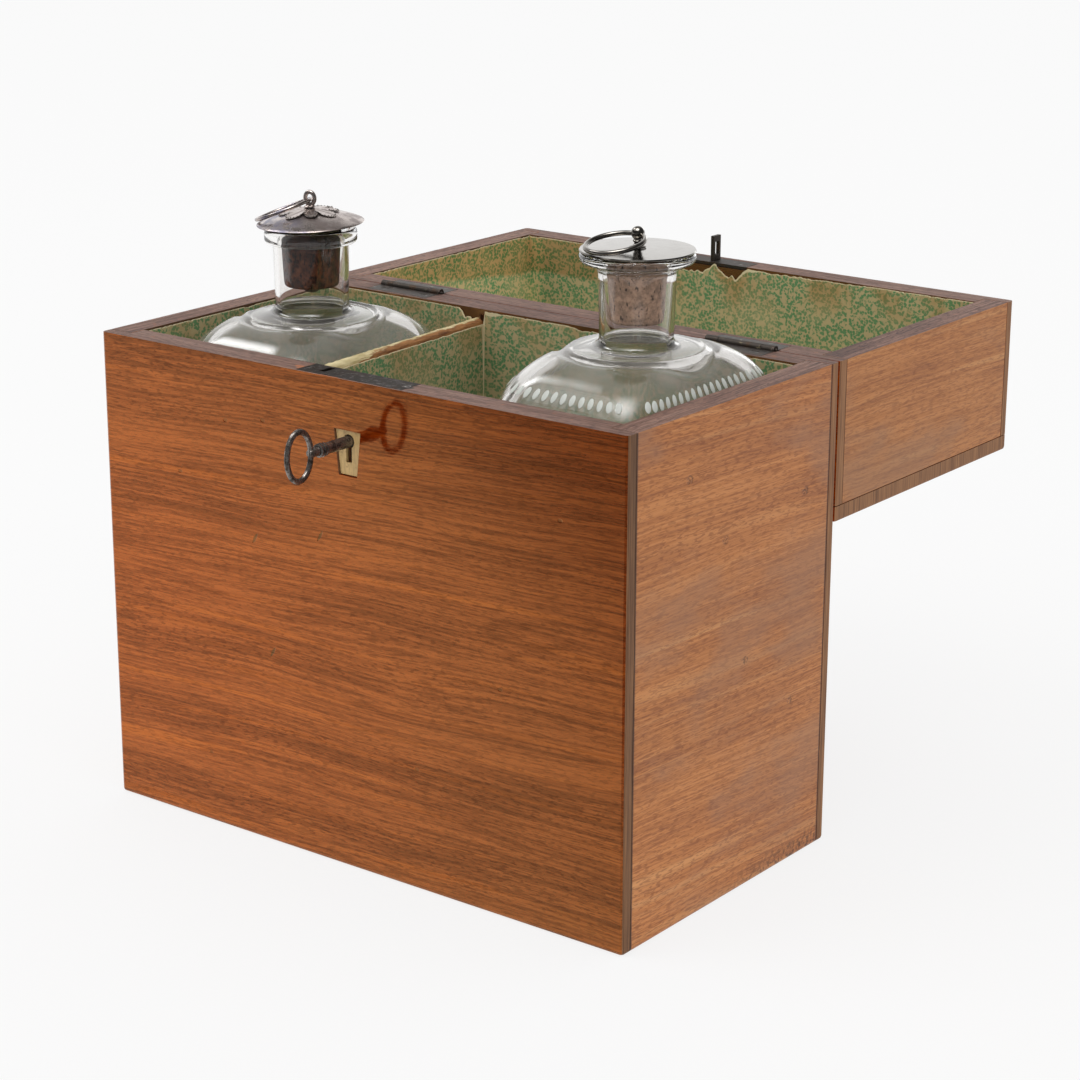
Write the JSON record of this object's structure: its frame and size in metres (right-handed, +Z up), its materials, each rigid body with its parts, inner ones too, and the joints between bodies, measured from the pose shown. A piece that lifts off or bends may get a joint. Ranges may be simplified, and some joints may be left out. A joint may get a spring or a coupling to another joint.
{
  "type": "liquor case",
  "caption": "Open wooden liquor case with a hinged lid, paper-lined bays, a lock with its key, and stoppered glass bottles that lift out.",
  "frame": {"origin": "centre of the case's underside, on the surface it stands on", "axes": "+X to the right of the keyhole face, +Y from the keyhole face to the hinges, +Z up"},
  "size_m": [0.24, 0.2884, 0.2353],
  "materials": {
    "varnished_wood": "glossy orange-brown varnish, fine level grain",
    "side_wood": "satin tan-brown, grain from front to back",
    "bare_wood": "unpolished pinkish brown with open pores",
    "sprig_paper": "matt tan paper with small green sprigs",
    "dark_iron": "dark worn iron",
    "worn_brass": "dull worn brass",
    "bone": "pale yellowed bone",
    "tarnished_silver": "tarnished silver plate",
    "bright_silver": "bright silver plate",
    "dark_cork": "dark stained cork",
    "pale_cork": "pale cork with dark specks",
    "clear_glass": "clear, faintly grey-green glass"
  },
  "bodies": {
    "case_body": {"front_board": "varnished_wood", "back_board": "varnished_wood", "left_side_board": "side_wood", "right_side_board": "side_wood", "bottom_board": "bare_wood", "partition": "bare_wood", "left_bay_lining": "sprig_paper", "right_bay_lining": "sprig_paper", "left_hinge_body_leaf": "dark_iron", "right_hinge_body_leaf": "dark_iron", "left_hinge_pin": "worn_brass", "right_hinge_pin": "worn_brass", "left_hinge_body_screw_1": "dark_iron", "left_hinge_body_screw_2": "dark_iron", "right_hinge_body_screw_1": "dark_iron", "right_hinge_body_screw_2": "dark_iron", "lock_plate": "dark_iron", "lock_case": "dark_iron", "lock_screw_1": "dark_iron", "lock_screw_2": "dark_iron", "bolt_spring": "worn_brass", "escutcheon": "bone"},
    "lid": {"lid_front_board": "varnished_wood", "lid_back_board": "varnished_wood", "lid_left_board": "side_wood", "lid_right_board": "side_wood", "lid_top_board": "varnished_wood", "lid_lining": "sprig_paper", "left_hinge_lid_leaf": "dark_iron", "right_hinge_lid_leaf": "dark_iron", "left_hinge_lid_screw_1": "dark_iron", "left_hinge_lid_screw_2": "dark_iron", "right_hinge_lid_screw_1": "dark_iron", "right_hinge_lid_screw_2": "dark_iron", "link_plate": "dark_iron", "link_screw_1": "dark_iron", "link_screw_2": "dark_iron"},
    "lock_bolt": {"lock_bolt": "dark_iron"},
    "key": {"key": "dark_iron"},
    "left_bottle": {"left_bottle": "clear_glass"},
    "left_stopper": {"left_cork": "dark_cork", "left_cap": "tarnished_silver", "left_rosette": "tarnished_silver", "left_ring_stud": "tarnished_silver", "left_stud_nut": "dark_iron"},
    "left_ring": {"left_ring": "tarnished_silver"},
    "right_bottle": {"right_bottle": "clear_glass"},
    "right_stopper": {"right_cork": "pale_cork", "right_cap": "bright_silver", "right_finial": "bright_silver"},
    "right_ring": {"right_ring": "bright_silver"}
  },
  "joints": [
    {"name": "lid_hinge", "type": "hinge", "parent": "case_body", "child": "lid", "pos_m": [0, 0.06425, 0.18325], "axis": [-1, 0, 0], "range_deg": [-180, 0]},
    {"name": "key_turn", "type": "hinge", "parent": "case_body", "child": "key", "pos_m": [0, -0.064, 0.1609], "axis": [0, -1, 0], "range_deg": [0, 360]},
    {"name": "bolt_throw", "type": "slide", "parent": "case_body", "child": "lock_bolt", "axis": [-1, 0, 0], "range_m": [0, 0.0045]},
    {"name": "left_bottle_lift", "type": "slide", "parent": "case_body", "child": "left_bottle", "axis": [0, 0, 1], "range_m": [0, 0.18]},
    {"name": "left_stopper_pull", "type": "slide", "parent": "left_bottle", "child": "left_stopper", "axis": [0, 0, 1], "range_m": [0, 0.04]},
    {"name": "left_ring_swing", "type": "hinge", "parent": "left_stopper", "child": "left_ring", "pos_m": [-0.07402, 0.001, 0.228], "axis": [-0.342, 0.9397, 0], "range_deg": [0, 141]},
    {"name": "right_bottle_lift", "type": "slide", "parent": "case_body", "child": "right_bottle", "axis": [0, 0, 1], "range_m": [0, 0.18]},
    {"name": "right_stopper_pull", "type": "slide", "parent": "right_bottle", "child": "right_stopper", "axis": [0, 0, 1], "range_m": [0, 0.04]},
    {"name": "right_ring_swing", "type": "hinge", "parent": "right_stopper", "child": "right_ring", "pos_m": [0.07402, 0.0042, 0.2325], "axis": [-0.9659, 0.2588, 0], "range_deg": [0, 158]}
  ],
  "couplings": [
    {"joint": "key_turn", "follows": "bolt_throw", "rad_per_m": 1396.2}
  ]
}
